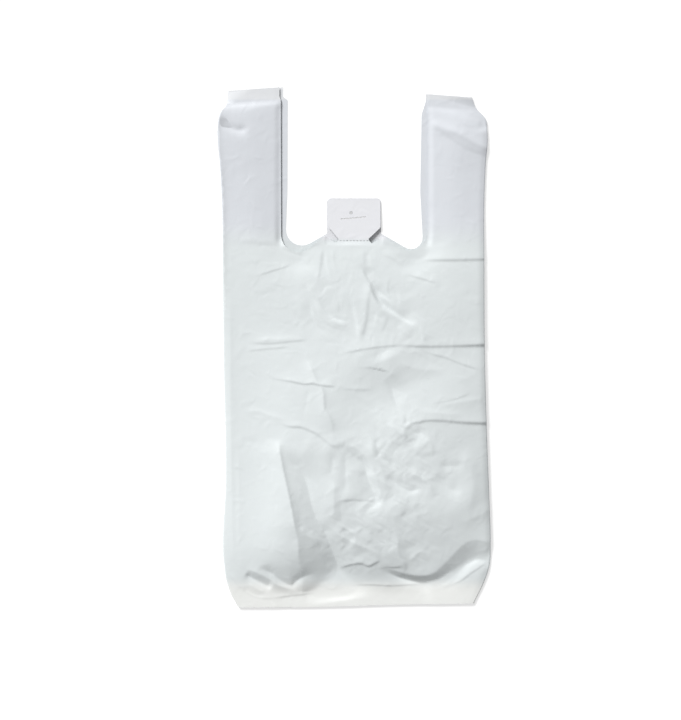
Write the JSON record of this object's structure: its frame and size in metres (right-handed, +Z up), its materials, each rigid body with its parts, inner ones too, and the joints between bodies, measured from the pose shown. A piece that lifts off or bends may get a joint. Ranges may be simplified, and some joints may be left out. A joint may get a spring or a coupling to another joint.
{
  "type": "plastic carrier bag",
  "caption": "Thin film vest-type carrier bag with side gussets, welded ends, cut-out mouth between two handles and a hang tab, lying flat with a little air left in it.",
  "frame": {"origin": "middle of the bag's outline, on the surface that its back panel lies on", "axes": "+Y from the bottom weld towards the handles, +Z up out of the front film, +X across the bag to the right as seen from above with the handles away from the viewer"},
  "size_m": [0.315, 0.5997, 0.0228],
  "materials": {
    "white_film": "satin"
  },
  "bodies": {
    "root": {"carrier_bag": "white_film"}
  },
  "joints": []
}
